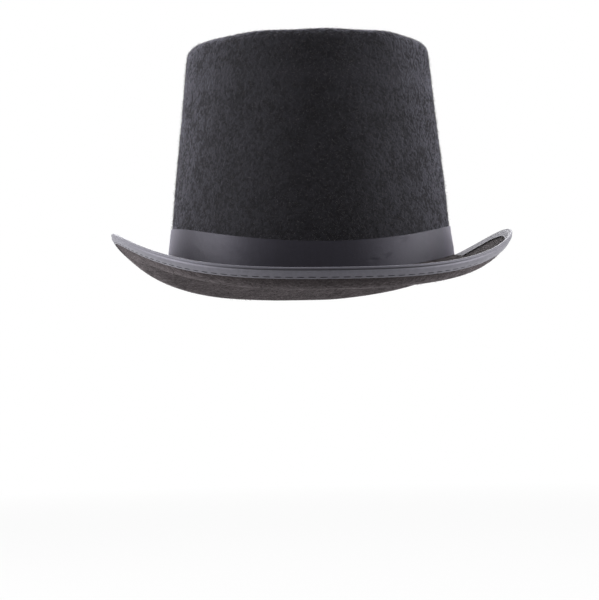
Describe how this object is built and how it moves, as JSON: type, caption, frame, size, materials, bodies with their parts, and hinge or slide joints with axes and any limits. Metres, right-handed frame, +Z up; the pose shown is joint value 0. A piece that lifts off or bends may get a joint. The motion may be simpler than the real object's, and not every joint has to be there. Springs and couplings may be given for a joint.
{
  "type": "top hat",
  "caption": "Tall felt top hat with a slightly tapered flat-topped crown, satin ribbon, brim curled up at the sides and a stitched satin binding on its edge.",
  "frame": {"origin": "centre of the bounding box, at the level of the brim's lowest points, on which the hat stands", "axes": "+Z up through the crown, -Y towards the front of the hat, +X towards the wearer's left"},
  "size_m": [0.2734, 0.3166, 0.1729],
  "materials": {
    "felt": "matt needled felt with loose fibres",
    "satin": "dark grey satin with a soft sheen",
    "wire": "drawn spring steel",
    "lining": "matt woven grosgrain"
  },
  "bodies": {
    "root": {"crown": "felt", "brim": "felt", "hat_band": "satin", "edge_binding": "satin", "brim_wire": "wire", "wire_joiner": "wire", "sweatband": "lining"}
  },
  "joints": []
}
